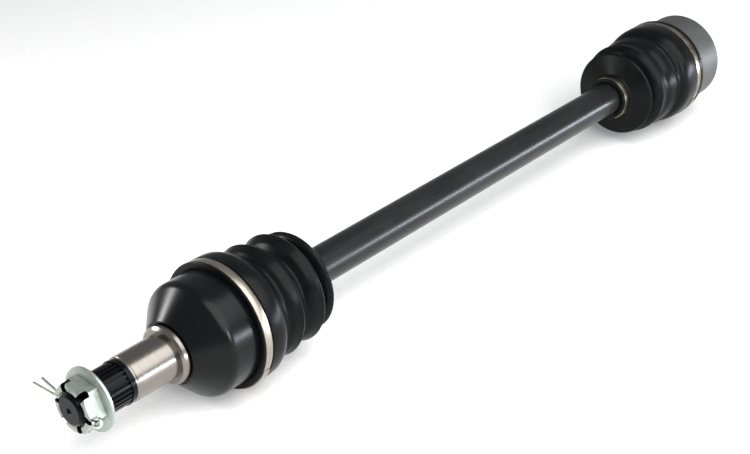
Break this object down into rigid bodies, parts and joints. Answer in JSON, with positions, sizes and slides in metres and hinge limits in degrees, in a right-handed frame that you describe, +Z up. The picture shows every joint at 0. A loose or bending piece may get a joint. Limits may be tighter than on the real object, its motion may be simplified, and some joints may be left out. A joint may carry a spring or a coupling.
{
  "type": "cv axle",
  "caption": "Drive axle: solid bar between a fixed ball joint with a threaded hub stub and a plunging ball joint with a splined gearbox stub, both under ribbed boots.",
  "frame": {"origin": "on the axle's centreline at the wheel bearing's shoulder", "axes": "+X outboard along the bearing journal towards the hub nut, +Z up; the bar runs towards -X"},
  "size_m": [0.729, 0.0872, 0.0872],
  "materials": {
    "bell_paint": "satin black paint",
    "bar_paint": "satin black paint",
    "boot_rubber": "satin moulded thermoplastic rubber",
    "cup_steel": "plain grey, matt",
    "band_steel": "rolled stainless band",
    "zinc_plate": "clear zinc plate, slightly frosted",
    "zinc_wire": "zinc-plated wire",
    "ground_steel": "ground and hardened",
    "phosphated_steel": "manganese phosphate",
    "spring_steel": "oiled spring steel",
    "bearing_steel": "polished bearing balls"
  },
  "bodies": {
    "shaft": {"center_shaft": "bar_paint", "outer_race_star": "ground_steel", "outer_circlip": "spring_steel", "inner_race_star": "ground_steel", "inner_circlip": "spring_steel", "outer_small_clamp": "band_steel", "inner_small_clamp": "band_steel"},
    "outer_cup": {"outer_housing": "bell_paint", "castle_nut": "zinc_plate", "cotter_pin": "zinc_wire", "outer_boot": "boot_rubber", "outer_large_clamp": "band_steel"},
    "outer_cage_set": {"outer_cage": "phosphated_steel", "outer_ball_1": "bearing_steel", "outer_ball_2": "bearing_steel", "outer_ball_3": "bearing_steel", "outer_ball_4": "bearing_steel", "outer_ball_5": "bearing_steel", "outer_ball_6": "bearing_steel"},
    "inner_ball_pair": {"inner_ball_1": "bearing_steel", "inner_ball_4": "bearing_steel"},
    "inner_cup": {"inner_housing": "cup_steel", "inner_stop_ring": "spring_steel", "gear_snap_ring": "spring_steel", "inner_boot": "boot_rubber", "inner_large_clamp": "band_steel"},
    "inner_cage_set": {"inner_cage": "phosphated_steel", "inner_ball_2": "bearing_steel", "inner_ball_3": "bearing_steel", "inner_ball_5": "bearing_steel", "inner_ball_6": "bearing_steel"}
  },
  "joints": [
    {"name": "outer_articulation", "type": "hinge", "parent": "shaft", "child": "outer_cup", "pos_m": [-0.04, 0, 0], "axis": [0, 1, 0], "range_deg": [-42, 42], "deforming": ["outer_boot"]},
    {"name": "outer_cage_turn", "type": "hinge", "parent": "shaft", "child": "outer_cage_set", "pos_m": [-0.04, 0, 0], "axis": [0, 1, 0], "range_deg": [-21, 21]},
    {"name": "inner_articulation", "type": "hinge", "parent": "shaft", "child": "inner_ball_pair", "pos_m": [-0.592, 0, 0], "axis": [0, 1, 0], "range_deg": [-18, 18], "deforming": ["inner_boot"]},
    {"name": "inner_cage_turn", "type": "hinge", "parent": "shaft", "child": "inner_cage_set", "pos_m": [-0.592, 0, 0], "axis": [0, 1, 0], "range_deg": [-9, 9]},
    {"name": "inner_plunge", "type": "slide", "parent": "inner_ball_pair", "child": "inner_cup", "axis": [1, 0, 0], "range_m": [-0.012, 0.012]}
  ],
  "couplings": [
    {"joint": "outer_cage_turn", "follows": "outer_articulation", "ratio": 0.5},
    {"joint": "inner_cage_turn", "follows": "inner_articulation", "ratio": 0.5}
  ]
}
